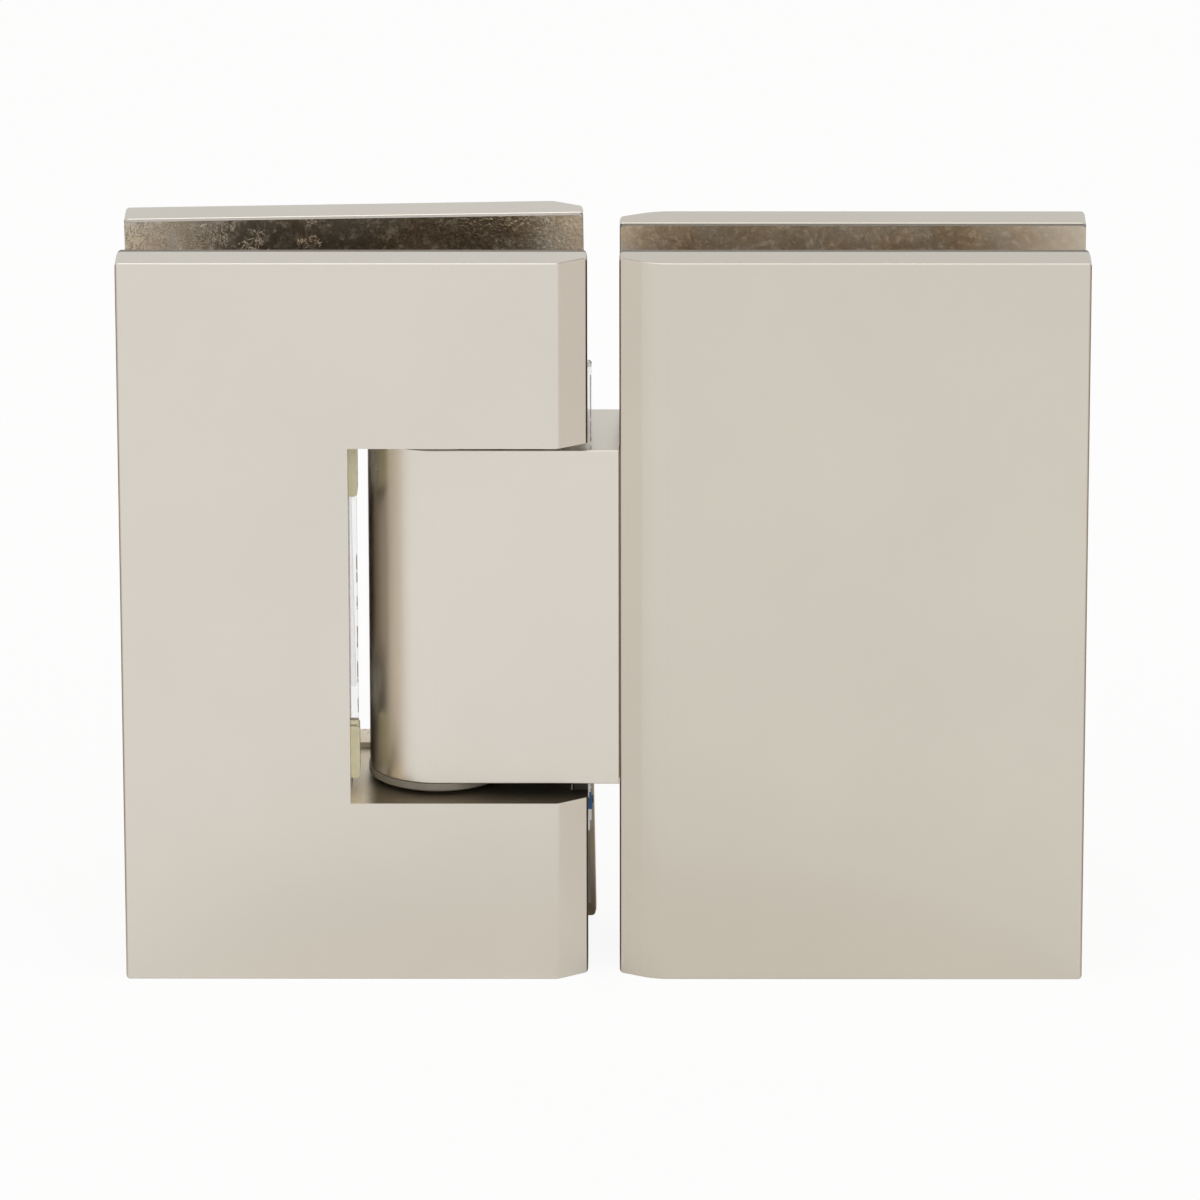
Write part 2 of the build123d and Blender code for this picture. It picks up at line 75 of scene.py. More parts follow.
# Metals and plastics
Finish = namedtuple("Finish", "clouds tones edge edge_share edge_tone relief")
NICKEL_FINISH = Finish((35.0, 3.0), (0.985, 1.01), 0.35 * MM, 0.5, 1.03, (0.25, 0.004 * MM))
STEEL_FINISH = Finish((220.0, 3.0), (0.90, 1.06), 0.2 * MM, 0.5, 1.25, (0.3, 0.006 * MM))
PLASTIC_FINISH = Finish((300.0, 3.0), (0.92, 1.06), 0.25 * MM, 0.6, 1.22, (0.2, 0.01 * MM))
NICKEL = (0.710, 0.672, 0.600)
NICKEL_BLOCK = (0.725, 0.686, 0.614)
NICKEL_FIXED = (0.660, 0.622, 0.540)
NICKEL_GRAIN = (5200.0, 2.0)
NICKEL_BRUSH = (4200.0, 1.0)
BRUSH_STRETCH = (0.12, 1, 1)
BRUSH_SHARE = 0.5
NICKEL_PATCHES = (90.0, 4.0)
NICKEL_ROUGHNESS = (0.25, 0.75, SMOOTHEST, 0.32)
EDGE_SMOOTHER = 0.05
STAINLESS = (0.560, 0.550, 0.530)
SPRING_STEEL = (0.430, 0.430, 0.430)
HARD_STEEL = (0.330, 0.320, 0.310)
STEEL_MARKS = (3000.0, 2.0)
STEEL_ROUGHER = 0.10
TURNED = (1, 0.1, 1)
DRAWN = (1, 1, 0.1)
EVEN = (1, 1, 1)
NYLON = (0.800, 0.790, 0.750)
BUSH_GREY = (0.235, 0.210, 0.170)
PAD_YELLOW = (0.720, 0.680, 0.475)
# Painted light: the pads' upward faces are painted lighter, as light falls on them from above
PAD_TOP_PAINTED_LIGHT = 1.30  # the pads' upward faces are lighter in the photo
TOP_SPAN = (0.5, 0.9)  # how much of a face's direction is upward, from a side to a top
PLASTIC_ROUGHER = 0.06
PLASTIC_IOR = 1.5
PLASTIC_SCATTER = (0.0012, 0.0012, 0.0008)

# Places on the plates that have a tone of their own
CUT_PAINTED_LIGHT = (1.36, 1.30, 1.20)  # painted light on the notch's unpolished lower faces beside its wall
CUT_PAINTED_SHADE = (0.42, 0.37, 0.30)  # painted shade on them under the block
CUT_PAINTED_DEEP_SHADE = (0.16, 0.14, 0.11)  # deeper painted shade on them at the mouth
CUT_SPAN = (0.0205, 0.0300)  # where they are in z
CUT_SHADE = (-0.0290, -0.0270)  # where the first tone turns to the second in x
CUT_DEEPER = (-0.0220, -0.0060)  # and the second to the third
CUT_SPECKS = (3200.0, 2.0)
CUT_SPECK_TONE = (0.52, 0.62, 0.0, 0.4)
CUT_SPECK_DEPTH = (0.008, 0.014, 0.25, 1.0)  # the specks grow stronger towards the loose plate's back
CUT_ROUGHER = 0.25
NOTCH_WALL_PAINTED_LIGHT = 1.30  # painted light: the notch's wall is painted brighter than its metal, so that it shows brighter mirrored in the block's round end
NOTCH_WALL = (-0.0307, -0.0300)
MOUTH_SHADE = (0.34, 0.28, 0.21)  # painted contact shadow: how much darker the edges at the mouth are
DOOR_MOUTH = (-0.00210, -0.00175)
BLOCK_MOUTH = (0.00178, 0.00210)
FIXED_MOUTH = (0.00180, 0.00206)
LUG_END_X = (-0.0043, -0.0034)  # painted shade in the corner past the lower lug's end
LUG_END_Z = (0.0150, 0.0200)
LOOSE_DEPTH = 0.004  # in that corner only the loose plate lies deeper than this
# Painted shade, in the corner past the lug's end and over the lower tab's root
ROOT_PAINTED_SHADE = (0.030, 0.025, 0.020)

# Film on the plates' inner faces
FILM_WET = (0.415, 0.336, 0.236)
FILM_DRY = (0.660, 0.600, 0.500)
FILM_METALLIC = (0.0, 1.0, 0.95, 0.30)
FILM_ROUGHNESS = (0.0, 1.0, SMOOTHEST, 0.40)
FILM_SPECKLE = (2600.0, 3.0)
SPECKLE_HAZE = 0.2
SPECKLE_HEIGHT = 0.12
FILM_RELIEF = (0.8, 0.10 * MM)
WARM_PATCH = (1.06, 0.97, 0.86)
WARM_PATCHES = (120.0, 3.0)
WARM_SPAN = (0.42, 0.62)
SETTLED_CLOUDS = (230.0, 6.0, 0.8, 0.68)
SETTLED_HAZE = (0.30, 0.70, 0.34, 0.50)
SETTLED_FLECKS = (1100.0, 4.0, 0.0, 0.70)
SETTLED_FLECK_HAZE = (0.48, 0.66, 0.0, 0.22)
# Painted light: the film is paler towards both ends, where light comes in at the sides
SETTLED_NEAR_END_LIGHT = (0.0090, 0.0015, 0.0, 0.22)
SETTLED_FAR_END_LIGHT = (0.0420, 0.0580, 0.0, 0.45)
SETTLED_HEIGHT = 0.4
WET_CLOUDS = (160.0, 3.0)
WET_HAZE = (0.30, 0.70, 0.02, 0.14)
WET_HEIGHT = 0.2
PALE_FROM = (0.034, 0.040)  # the loose sheet is pale, curled and pebbled only above this height
DEEP_FILM_SHADE = 0.38  # and, as painted shade, this much darker below it but not at the mouth; the door's film is this much darker all over
DEEP_HAZE = 0.30
FILM_RIM = (0.0245, 0.0262)  # where in x the mouth starts
CURL_SPREAD = (150.0, 3.0)
CURL_WANDER = 0.008  # how far the curls' limits wander in x
CURL_BREAKS = (420.0, 3.0)
MANY_CURLS = ((-0.0155, -0.0180), (0.34, 0.46))  # where in x, and in how much of the breaks' noise
FEW_CURLS = ((-0.003, -0.010), (0.54, 0.62))
CURLS = (1150.0, 3.0, 0.9, 0.6)
CURL_WIDTH = (0.040, 0.0)
CURL_HAZE = 0.30
CURL_HEIGHT = 3.0
LIFTED_DRIFT = (260.0, 5.0, 0.6, 0.65)
LIFTED_HAZE = (0.35, 0.70, 0.09, 0.21)
LIFTED_FLECKS = (1300.0, 4.0, 0.0, 0.70)
LIFTED_FLECK_HAZE = (0.47, 0.66, 0.0, 0.24)
# Painted light: the film is paler towards both ends, where light comes in at the sides
FAR_END_LIGHT = (-0.0110, -0.0275, 0.0, 0.84)
MOUTH_END_LIGHT = (0.0170, 0.0285, 0.0, 0.70)
PEBBLES = (2300.0, 1.0)
PEBBLE_HEIGHT = (0.004, 0.018, 0.0, 1.3)

# Clear sheets
VINYL = (0.930, 0.935, 0.940)
VINYL_COVER = 0.10
TAB_COVER = 0.14
TAB_LIT = 0.80  # where the lower tab catches the light
VINYL_FINE = (900.0, 2.0)
VINYL_ROUGHNESS = (0.3, 0.7, 0.12, 0.2)
VINYL_RELIEF = (0.05, 0.02 * MM)
EDGE_DARK = (0.150, 0.128, 0.096)
EDGE_PALE = (0.480, 0.455, 0.415)
EDGE_TONES = (0.8, 1.2)
EDGE_ROUGHNESS = 0.4
STRIP_SIDE = (0.640, 0.590, 0.520)  # the clear strip's side, seen mirrored in the block's round end
SIDE_ROUGHNESS = 0.35
STAIN_AND_LIGHT_BREAKS = (520.0, 3.0)
STAIN_AND_LIGHT_ROUGHNESS = 0.45
GLUE_BROWN = (0.200, 0.130, 0.090)
SCRAP_BLUE = (0.012, 0.085, 0.260)
TAB_GREY = (0.300, 0.290, 0.260)
TAB_WHITE = (0.920, 0.900, 0.880)
# Colour of the painted highlight along the loose plate's rim
RIM_HIGHLIGHT_WHITE = (0.850, 0.840, 0.810)
LOOSE_TURN = 0.96  # the door's back plate and its gasket lie turned in their plane
LOOSE_CENTRE = (-0.02925, 0.0, 0.04533)

# Stretches of the sheets past the plates' edges, and marks: x and z limits in the sheet's own plane
WALL_STRIP = ((-0.03035, -0.0290, 0.030, 0.060), VINYL_COVER)
UPPER_TAB = ((-0.0019, 0.0, 0.066, 0.080), TAB_COVER)
LOWER_TAB = ((-0.0019, 0.0, 0.010, 0.024), VINYL_COVER)
LIT_TOP = ((-0.0019, -0.0016, 0.0215, 0.0232), TAB_LIT)
LIT_MIDDLE = ((-0.0019, -0.0015, 0.0186, 0.0200), TAB_LIT)
LIT_TIP = ((-0.0019, -0.0017, 0.0173, 0.0186), TAB_LIT)
TAB_ROOTS = ((-0.0050, 0.0, 0.02247, 0.06707), VINYL_COVER)
LOOSE_STRIP = ((-0.00205, 0.0, -0.016, 0.016), VINYL_COVER)
GLUE_LINE = ((-0.02955, -0.0290, 0.032, 0.052), GLUE_BROWN, 0.50)
TAB_EDGE = ((-0.00158, -0.00149, 0.0663, 0.0744), TAB_GREY, 0.62)
TAB_END = ((-0.0019, 0.0, 0.0757, 0.0764), TAB_WHITE, 0.50)
# Painted shade over the lower tab's root, where the sheet lies in shade
ROOT_SHADE = ((-0.0050, -0.0019, 0.0215, 0.0242), ROOT_PAINTED_SHADE, 1.0)
PAD_LAP = ((-0.03035, -0.0290, 0.0295, 0.0313), PAD_YELLOW, 1.0)
SCRAP_LOW = ((-0.0019, -0.0013, 0.0200, 0.0210), SCRAP_BLUE, 0.72)
SCRAP_HIGH = ((-0.00176, -0.00152, 0.0210, 0.0222), SCRAP_BLUE, 0.66)
SCRAP_SIDE = ((0.0266, 0.0280, -0.0300, -0.0290), SCRAP_BLUE, 0.66)
# Painted highlight: a bright line on the loose sheet along the plate's rounded edge
RIM_PAINTED_HIGHLIGHT = ((0.02660, 0.02683, -0.0430, -0.0308), RIM_HIGHLIGHT_WHITE, 1.0)
DOOR_FREE = [WALL_STRIP, UPPER_TAB, TAB_ROOTS, LOWER_TAB, LIT_TOP, LIT_MIDDLE, LIT_TIP]
DOOR_MARKS = [GLUE_LINE, TAB_EDGE, TAB_END, ROOT_SHADE, PAD_LAP, SCRAP_LOW, SCRAP_HIGH]
LOOSE_MARKS = [SCRAP_SIDE, RIM_PAINTED_HIGHLIGHT]


class Tree:
    """A node tree with short calls for its nodes."""

    def __init__(self, tree):
        self.tree = tree
        tree.nodes.clear()

    def add(self, kind, inputs=None, **settings):
        node = self.tree.nodes.new("ShaderNode" + kind)
        for name, value in settings.items():
            setattr(node, name, value)
        for key, value in (inputs or {}).items():
            if isinstance(value, bpy.types.NodeSocket):
                self.tree.links.new(value, node.inputs[key])
            else:
                node.inputs[key].default_value = value
        return node

    def math(self, operation, a, b=0.0, clamp=False):
        return self.add("Math", {0: a, 1: b}, operation=operation, use_clamp=clamp).outputs[0]

    def plus(self, a, b, clamp=False):
        return self.math("ADD", a, b, clamp)

    def times(self, a, b):
        return self.math("MULTIPLY", a, b)

    def between(self, value, limits):
        """1 where the value is between the limits, 0 elsewhere."""
        low, high = limits
        return self.times(self.math("GREATER_THAN", value, low), self.math("LESS_THAN", value, high))

    def ramp(self, value, low, high, to_low=0.0, to_high=1.0):
        inputs = {"Value": value, "From Min": low, "From Max": high, "To Min": to_low, "To Max": to_high}
        return self.add("MapRange", inputs, interpolation_type="SMOOTHSTEP").outputs["Result"]

    def noise(self, coords, scale, detail=2.0, distortion=0.0, roughness=0.5):
        inputs = {"Vector": coords, "Scale": scale, "Detail": detail, "Distortion": distortion}
        inputs["Roughness"] = roughness
        return self.add("TexNoise", inputs).outputs["Fac"]

    def blend(self, factor, low, high):
        node = self.add("Mix", {"Factor": factor, "A": low, "B": high}, data_type="RGBA")
        return node.outputs["Result"]

    def scaled(self, colour, factor):
        return self.add("VectorMath", {0: colour, 3: factor}, operation="SCALE").outputs[0]

    def tinted(self, colour, tint):
        return self.add("VectorMath", {0: colour, 1: tint}, operation="MULTIPLY").outputs[0]

    def coords(self, scale=(1, 1, 1), turn=0.0, centre=(0, 0, 0)):
        place = self.add("TexCoord").outputs["Object"]
        shifted = self.add("VectorMath", {0: place, 1: centre}, operation="SUBTRACT").outputs[0]
        inputs = {"Vector": shifted, "Rotation": (0, radians(turn), 0), "Scale": scale}
        return self.add("Mapping", inputs).outputs["Vector"]

    def split(self, vector):
        return self.add("SeparateXYZ", {0: vector}).outputs

    def facing(self):
        """The face's direction in its piece's own axes, so that marks keep their faces as it turns."""
        return self.split(self.add("TexCoord").outputs["Normal"])

    def bump(self, height, relief):
        strength, distance = relief
        inputs = {"Height": height, "Strength": strength, "Distance": distance}
        return self.add("Bump", inputs).outputs["Normal"]

    def principled(self, inputs):
        return self.add("BsdfPrincipled", inputs).outputs[0]

    def mix(self, factor, first, second):
        return self.add("MixShader", {0: factor, 1: first, 2: second}).outputs[0]

    def surface(self, shader):
        self.add("OutputMaterial", {"Surface": shader})


def shade(colour, factor=1.0):
    return (*[channel * factor for channel in colour], 1.0)


def new_material(name):
    material = bpy.data.materials.new(name)
    material.use_nodes = True
    return material, Tree(material.node_tree)


def edge_mask(tree, radius):
    """Near 1 along sharp edges, 0 elsewhere."""
    rounded = tree.add("Bevel", {"Radius": radius}, samples=EDGE_SAMPLES).outputs["Normal"]
    flat = tree.add("NewGeometry").outputs["Normal"]
    same = tree.add("VectorMath", {0: rounded, 1: flat}, operation="DOT_PRODUCT").outputs["Value"]
    return tree.ramp(same, *SHARP)


def worn_colour(tree, place, colour, finish):
    """The colour with faint clouds and brighter edges, and the mask of the edges."""
    edges = edge_mask(tree, finish.edge)
    clouds = tree.ramp(tree.noise(place, *finish.clouds), *MIDDLE)
    base = tree.blend(clouds, *[shade(colour, tone) for tone in finish.tones])
    bright = shade(colour, finish.edge_tone)
    return tree.blend(tree.times(edges, finish.edge_share), base, bright), edges


def cut_specks_light_and_shade(tree, place):
    """Tone of the notch's unpolished lower faces, with their specks, painted light beside the wall and
    painted shade under the block and at the mouth; and 1 on them, 0 elsewhere.
    """
    x, depth, z = tree.split(place)
    upward = tree.facing()[2]
    here = tree.times(tree.between(z, CUT_SPAN), tree.math("GREATER_THAN", upward, FACING))
    specks = tree.ramp(tree.noise(place, *CUT_SPECKS), *CUT_SPECK_TONE)
    specks = tree.times(specks, tree.ramp(depth, *CUT_SPECK_DEPTH))
    tone = tree.blend(tree.ramp(x, *CUT_SHADE), shade(CUT_PAINTED_LIGHT), shade(CUT_PAINTED_SHADE))
    tone = tree.blend(tree.ramp(x, *CUT_DEEPER), tone, shade(CUT_PAINTED_DEEP_SHADE))
    return tree.scaled(tone, tree.math("SUBTRACT", 1.0, specks)), here


def notch_wall(tree, place):
    """1 on the notch's wall, 0 elsewhere."""
    across = tree.facing()[0]
    here = tree.between(tree.split(place)[0], NOTCH_WALL)
    return tree.times(here, tree.math("GREATER_THAN", across, FACING))


def mouth_shadow_rim(tree, place, span):
    """1 on the front-facing rim at the mouth between the leaves, where a contact shadow is painted; 0
    elsewhere.
    """
    forward = tree.facing()[1]
    here = tree.between(tree.split(place)[0], span)
    return tree.times(here, tree.math("LESS_THAN", forward, FACING_FRONT))


def lug_corner_shade(tree, place):
    """1 in the corner past the lower lug's end, on the loose plate's front face, where shade is painted; 0
    elsewhere.
    """
    x, depth, z = tree.split(place)
    beside = tree.times(tree.between(x, LUG_END_X), tree.between(z, LUG_END_Z))
    here = tree.times(beside, tree.math("GREATER_THAN", depth, LOOSE_DEPTH))
    return tree.times(here, tree.math("LESS_THAN", tree.facing()[1], FACING_FRONT))


def satin_nickel(name, colour, mouth):
    """Satin plating: faint clouds, fine grain, brighter edges and dull cut faces, with painted light on the
    notch's wall and beside it, painted shade on the cut faces under the block and in the corner past the lug,
    and a painted contact shadow on the rim at the mouth.
    """
    material, tree = new_material(name)
    plain = tree.coords()
    base, edges = worn_colour(tree, plain, colour, NICKEL_FINISH)
    # Painted light: the notch's wall is painted brighter than the rest of the plate.
    painted_light_gain = tree.plus(1.0, tree.times(notch_wall(tree, plain), NOTCH_WALL_PAINTED_LIGHT - 1.0))
    base = tree.scaled(base, painted_light_gain)
    # Painted light and painted shade on the notch's cut faces, besides their specks.
    tone, cut = cut_specks_light_and_shade(tree, plain)
    base = tree.blend(cut, base, tree.tinted(base, tone))
    # Painted contact shadow on the rim at the mouth.
    base = tree.blend(mouth_shadow_rim(tree, plain, mouth), base, tree.tinted(base, MOUTH_SHADE))
    # Painted shade in the corner past the lower lug's end.
    base = tree.blend(lug_corner_shade(tree, plain), base, shade(ROOT_PAINTED_SHADE))
    rough = tree.ramp(tree.noise(plain, *NICKEL_PATCHES), *NICKEL_ROUGHNESS)
    rough = tree.math("SUBTRACT", rough, tree.times(edges, EDGE_SMOOTHER))
    rough = tree.math("MAXIMUM", rough, SMOOTHEST)
    rough = tree.plus(rough, tree.times(cut, CUT_ROUGHER))
    brushed = tree.noise(tree.coords(scale=BRUSH_STRETCH), *NICKEL_BRUSH)
    height = tree.plus(tree.noise(plain, *NICKEL_GRAIN), tree.times(brushed, BRUSH_SHARE))
    tree.surface(tree.principled({
        "Base Color": base, "Metallic": 1.0, "Roughness": rough,
        "Normal": tree.bump(height, NICKEL_FINISH.relief),
    }))
    return material


def machined_steel(name, colour, roughness, stretch):
    """Turned or drawn steel with fine marks along or round it."""
    material, tree = new_material(name)
    base, _ = worn_colour(tree, tree.coords(), colour, STEEL_FINISH)
    marks = tree.noise(tree.coords(scale=stretch), *STEEL_MARKS)
    tree.surface(tree.principled({
        "Base Color": base, "Metallic": 1.0,
        "Roughness": tree.ramp(marks, *MIDDLE, roughness, roughness + STEEL_ROUGHER),
        "Normal": tree.bump(marks, STEEL_FINISH.relief),
    }))
    return material


def plastic(name, colour, roughness, scatter, grain, top_painted_light=1.0):
    """Moulded or cast soft plastic: slight mottling, fine grain, a little light let in, and painted light on
    upward faces by top_painted_light.
    """
    material, tree = new_material(name)
    plain = tree.coords()
    base, _ = worn_colour(tree, plain, colour, PLASTIC_FINISH)
    # Painted light on the upward faces.
    painted_light_gain = tree.ramp(tree.facing()[2], *TOP_SPAN, 1.0, top_painted_light)
    grains = tree.noise(plain, grain)
    tree.surface(tree.principled({
        "Base Color": tree.scaled(base, painted_light_gain), "IOR": PLASTIC_IOR,
        "Roughness": tree.ramp(grains, *MIDDLE, roughness - PLASTIC_ROUGHER, roughness + PLASTIC_ROUGHER),
        "Subsurface Weight": scatter, "Subsurface Radius": PLASTIC_SCATTER,
        "Normal": tree.bump(grains, PLASTIC_FINISH.relief),
    }))
    return material


# The three states of film give how pale it is, its relief and how much light reaches it, which is painted
# into its colour as shade.

def settled_film(tree, place):
    """Film lying flat: fine mottling, and painted light that makes it paler towards both ends of the fixed
    leaf.
    """
    x = tree.split(place)[0]
    clouds = tree.noise(place, *SETTLED_CLOUDS)
    flecks = tree.ramp(tree.noise(place, *SETTLED_FLECKS), *SETTLED_FLECK_HAZE)
    # Painted light towards both ends.
    ends = tree.plus(tree.ramp(x, *SETTLED_NEAR_END_LIGHT), tree.ramp(x, *SETTLED_FAR_END_LIGHT))
    haze = tree.plus(tree.ramp(clouds, *SETTLED_HAZE), flecks)
    return tree.plus(haze, ends), tree.times(clouds, SETTLED_HEIGHT), 1.0


def wet_film(tree, place):
    """Film that has wetted out all over, darkened all over by painted shade."""
    clouds = tree.noise(place, *WET_CLOUDS)
    return tree.ramp(clouds, *WET_HAZE), tree.times(clouds, WET_HEIGHT), DEEP_FILM_SHADE


def lifted_film(tree, place):
    """Film that has lifted in curls at the far end and is pebbled towards the mouth, with painted light
    towards both ends and painted shade low down.
    """
    x, _, z = tree.split(place)
    top = tree.ramp(z, *PALE_FROM)
    spread = tree.math("SUBTRACT", tree.noise(place, *CURL_SPREAD), NOISE_CENTRE)
    reach = tree.plus(x, tree.times(spread, CURL_WANDER))
    breaks = tree.noise(place, *CURL_BREAKS)
    many, few = [
        tree.times(tree.ramp(reach, *where), tree.ramp(breaks, *share))
        for where, share in (MANY_CURLS, FEW_CURLS)
    ]
    curl = tree.math("ABSOLUTE", tree.math("SUBTRACT", tree.noise(place, *CURLS), NOISE_CENTRE))
    ridge = tree.times(tree.ramp(curl, *CURL_WIDTH), tree.math("MAXIMUM", many, few))
    flecks = tree.ramp(tree.noise(place, *LIFTED_FLECKS), *LIFTED_FLECK_HAZE)
    # Painted light towards both ends.
    ends = tree.plus(tree.ramp(x, *FAR_END_LIGHT), tree.ramp(x, *MOUTH_END_LIGHT))
    haze = tree.plus(ends, tree.ramp(tree.noise(place, *LIFTED_DRIFT), *LIFTED_HAZE))
    haze = tree.plus(haze, tree.plus(flecks, tree.times(ridge, CURL_HAZE)))
    haze = tree.times(haze, tree.ramp(top, 0.0, 1.0, DEEP_HAZE, 1.0))
    pebbles = tree.times(tree.noise(place, *PEBBLES), tree.ramp(x, *PEBBLE_HEIGHT))
    relief = tree.plus(tree.times(ridge, CURL_HEIGHT), pebbles)
    # Painted shade below the pale part, but not at the mouth.
    lit = tree.math("MAXIMUM", top, tree.ramp(x, *FILM_RIM))
    return haze, tree.times(relief, top), tree.ramp(lit, 0.0, 1.0, DEEP_FILM_SHADE, 1.0)


def film_on_metal(tree, place, state):
    """Metal seen through film: dark where the film has wetted out, pale and rough where it is dry, and darker
    by painted shade where little light reaches it.
    """
    haze, relief, lit = state(tree, place)
    speckle = tree.noise(place, *FILM_SPECKLE)
    grain = tree.times(tree.math("SUBTRACT", speckle, NOISE_CENTRE), SPECKLE_HAZE)
    haze = tree.plus(haze, grain, clamp=True)
    warm = tree.ramp(tree.noise(place, *WARM_PATCHES), *WARM_SPAN)
    base = tree.blend(haze, shade(FILM_WET), shade(FILM_DRY))
    base = tree.tinted(base, tree.blend(warm, WHITE, shade(WARM_PATCH)))
    height = tree.plus(relief, tree.times(speckle, SPECKLE_HEIGHT))
    return tree.principled({
        # Painted shade where little light reaches the film.
        "Base Color": tree.scaled(base, lit),
        "Metallic": tree.ramp(haze, *FILM_METALLIC),
        "Roughness": tree.ramp(haze, *FILM_ROUGHNESS),
        "Normal": tree.bump(height, FILM_RELIEF),
    })


def within(tree, place, limits):
    """1 inside these x and z limits of the sheet's own plane."""
    x, _, z = tree.split(place)
    return tree.times(tree.between(x, limits[:2]), tree.between(z, limits[2:]))


def vinyl(name, state, edge_tone, free=(), marks=(), turn=0.0, centre=(0, 0, 0)):
    """Clear sheet: on its plate the metal shows through it, and beyond the plate it is plain and clear.

    free are the stretches that no plate backs and how much they cover what is behind them, and marks
    are stretches with a tone of their own, glue, scraps of blue film, painted shade and a painted highlight,
    with their tones and how much of each is covered.
    """
    material, tree = new_material(name)
    place = tree.coords(turn=turn, centre=centre)
    fine = tree.noise(place, *VINYL_FINE)
    on_plate = film_on_metal(tree, place, state)
    cut_colour = tree.blend(fine, *[shade(edge_tone, tone) for tone in EDGE_TONES])
    cut = tree.principled({"Base Color": cut_colour, "Roughness": EDGE_ROUGHNESS})
    side = tree.principled({"Base Color": shade(STRIP_SIDE), "Roughness": SIDE_ROUGHNESS})
    across, forward = [
        tree.math("GREATER_THAN", tree.math("ABSOLUTE", axis), FACING) for axis in tree.facing()[:2]
    ]
    shader = tree.mix(forward, cut, on_plate)
    for limits, cover in free:
        clear = tree.principled({
            "Base Color": shade(VINYL), "Roughness": tree.ramp(fine, *VINYL_ROUGHNESS),
            "Alpha": cover, "Normal": tree.bump(fine, VINYL_RELIEF),
        })
        shader = tree.mix(within(tree, place, limits), shader, tree.mix(across, clear, side))
    for limits, tone, cover in marks:
        ragged = tree.math("LESS_THAN", tree.noise(place, *STAIN_AND_LIGHT_BREAKS), cover)
        amount = tree.times(within(tree, place, limits), tree.times(ragged, forward))
        # A mark is a stain or painted light or shade.
        stain_and_painted_light = tree.principled({"Base Color": shade(tone), "Roughness": STAIN_AND_LIGHT_ROUGHNESS})
        shader = tree.mix(amount, shader, stain_and_painted_light)
    tree.surface(shader)
    return material


def dress(node, material):
    """Gives a CAD node's material slots this material."""
    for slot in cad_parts[node].material_slots:
        slot.material = material


def camera():
    """The photo's view, worked out from the fitted angles."""
    pitch, yaw, roll = radians(PITCH), radians(YAW), radians(ROLL)
    back = Vector((sin(yaw) * cos(pitch), -cos(yaw) * cos(pitch), sin(pitch)))
    right = (-back).cross(Vector((0, 0, 1))).normalized()
    up = right.cross(-back)
    turned_right = right * cos(roll) + up * sin(roll)
    turned_up = up * cos(roll) - right * sin(roll)
    data = bpy.data.cameras.new("camera")
    data.lens = LENS_MM
    data.sensor_width = SENSOR_MM
    data.sensor_fit = "HORIZONTAL"
    data.clip_start, data.clip_end = CLIP
    shot = bpy.data.objects.new("camera", data)
    turn = Matrix((turned_right, turned_up, back)).transposed()
    shot.matrix_world = Matrix.Translation(Vector(TARGET) + back * DISTANCE) @ turn.to_4x4()
    bpy.context.scene.collection.objects.link(shot)
    bpy.context.scene.camera = shot


def surround_tone(tree, direction):
    """Tone of the surround in this direction, the same at every height."""
    x, y, _ = tree.split(direction)
    angle = tree.math("ARCTAN2", tree.math("ABSOLUTE", x), tree.times(y, -1.0))
    node = tree.add("ValToRGB", {"Fac": tree.math("DIVIDE", angle, pi)})
    stops = node.color_ramp.elements
    for degrees, _ in SURROUND[1:-1]:
        stops.new(degrees / 180)
    for stop, (_, tone) in zip(stops, SURROUND):
        stop.color = shade(tone)
    return node.outputs["Color"]


def studio_world():
    """Soft white surround, darker to both sides, that the camera sees as white."""
    world = bpy.data.worlds.new("studio")
    bpy.context.scene.world = world
    world.use_nodes = True
    tree = Tree(world.node_tree)
    camera_ray = tree.add("LightPath").outputs["Is Camera Ray"]
    tone = surround_tone(tree, tree.add("TexCoord").outputs["Generated"])
    shown = tree.add("Background", {"Color": tree.blend(camera_ray, tone, WHITE), "Strength": 1.0})
    tree.add("OutputWorld", {"Surface": shown.outputs[0]})


def studio_floor():
    """Plain pale floor that shows white, keeps a faint shadow and is mirrored like the surround."""
    half = FLOOR_SIZE / 2
    mesh = bpy.data.meshes.new("floor")
    corners = [(-half, -half, 0), (half, -half, 0), (half, half, 0), (-half, half, 0)]
    mesh.from_pydata(corners, [], [(0, 1, 2, 3)])
    floor = bpy.data.objects.new("floor", mesh)
    bpy.context.scene.collection.objects.link(floor)
    material, tree = new_material("floor")
    path = tree.add("LightPath").outputs
    lit = tree.add("BsdfDiffuse", {"Color": shade(FLOOR_COLOUR)}).outputs[0]
    white = tree.add("Emission", {"Color": WHITE, "Strength": 1.0}).outputs[0]
    beyond = tree.add("BsdfTransparent").outputs[0]
    shown = tree.mix(tree.times(path["Is Camera Ray"], FLOOR_SHOWN_WHITE), lit, white)
    place = tree.add("TexCoord").outputs["Object"]
    reach = tree.add("VectorMath", {0: place}, operation="LENGTH").outputs["Value"]
    kept = tree.ramp(reach, *FLOOR_NEAR, *FLOOR_MIRRORED)
    mirrored = tree.times(path["Is Glossy Ray"], tree.math("SUBTRACT", 1.0, kept))
    tree.surface(tree.mix(mirrored, shown, beyond))
    mesh.materials.append(material)


def softbox():
    """One broad lamp above and in front."""
    data = bpy.data.lights.new("softbox", "AREA")
    data.shape = "RECTANGLE"
    data.size, data.size_y = LAMP_SIZE
    data.energy = LAMP_POWER
    lamp = bpy.data.objects.new("softbox", data)
    towards = (Vector(TARGET) - Vector(LAMP_PLACE)).to_track_quat("-Z", "Y")
    lamp.matrix_world = Matrix.Translation(LAMP_PLACE) @ towards.to_matrix().to_4x4()
    bpy.context.scene.collection.objects.link(lamp)


camera()
studio_world()
studio_floor()
softbox()
bpy.context.scene.view_settings.view_transform = "Standard"

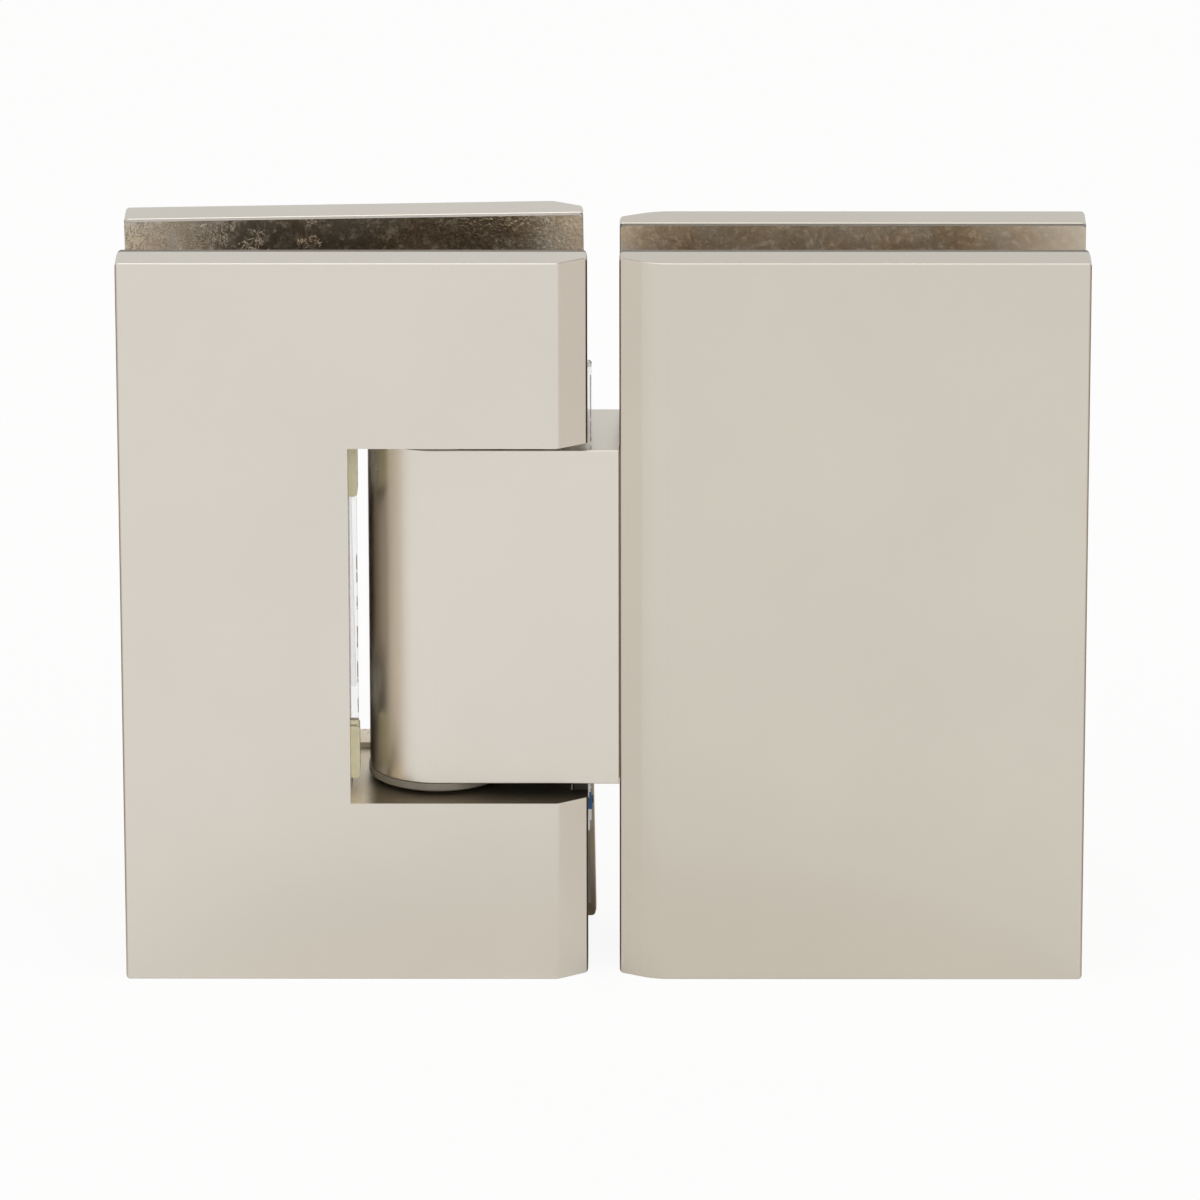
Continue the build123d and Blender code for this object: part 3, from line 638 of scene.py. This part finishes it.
fixed_vinyl = vinyl("clear_vinyl", settled_film, EDGE_DARK)
door_vinyl = vinyl("clear_vinyl_door", wet_film, EDGE_DARK, DOOR_FREE, DOOR_MARKS)
loose_vinyl = vinyl(
    "clear_vinyl_loose", lifted_film, EDGE_PALE, [LOOSE_STRIP], LOOSE_MARKS, LOOSE_TURN, LOOSE_CENTRE,
)
door_nickel = satin_nickel("satin_nickel_door", NICKEL, DOOR_MOUTH)
fixed_nickel = satin_nickel("satin_nickel_fixed", NICKEL_FIXED, FIXED_MOUTH)
block_nickel = satin_nickel("satin_nickel_block", NICKEL_BLOCK, BLOCK_MOUTH)
stainless = machined_steel("stainless_screws", STAINLESS, roughness=0.30, stretch=TURNED)
spring_steel = machined_steel("spring_steel", SPRING_STEEL, roughness=SMOOTHEST, stretch=EVEN)
hard_steel = machined_steel("hard_steel", HARD_STEEL, roughness=SMOOTHEST, stretch=DRAWN)
nylon = plastic("nylon", NYLON, roughness=0.42, scatter=0.15, grain=1800.0)
bush_grey = plastic("grey_bush", BUSH_GREY, roughness=0.45, scatter=0.0, grain=2400.0)
pad_yellow = plastic(
    "yellow_pad", PAD_YELLOW, roughness=0.38, scatter=0.25, grain=1500.0, top_painted_light=PAD_TOP_PAINTED_LIGHT,
)

finishes = {
    "door_front_plate": door_nickel,
    "door_back_plate": door_nickel,
    "fixed_front_plate": fixed_nickel,
    "fixed_back_plate": fixed_nickel,
    "pivot_block": block_nickel,
    "fixed_front_gasket": fixed_vinyl,
    "fixed_back_gasket": fixed_vinyl,
    "door_front_gasket": door_vinyl,
    "door_back_gasket": loose_vinyl,
    "fixed_clamp_screws": stainless,
    "door_clamp_screws": stainless,
    "door_lug_screws": stainless,
    "pin_set_screws": stainless,
    "detent_adjusters": hard_steel,
    "hinge_pin": hard_steel,
    "upper_detent_plunger": hard_steel,
    "lower_detent_plunger": hard_steel,
    "upper_detent_spring": spring_steel,
    "lower_detent_spring": spring_steel,
    "fixed_screw_sleeves": nylon,
    "door_screw_sleeves": nylon,
    "upper_bush": bush_grey,
    "lower_bush": bush_grey,
    "upper_notch_pad": pad_yellow,
    "lower_notch_pad": pad_yellow,
}
for node, finish in finishes.items():
    dress(node, finish)
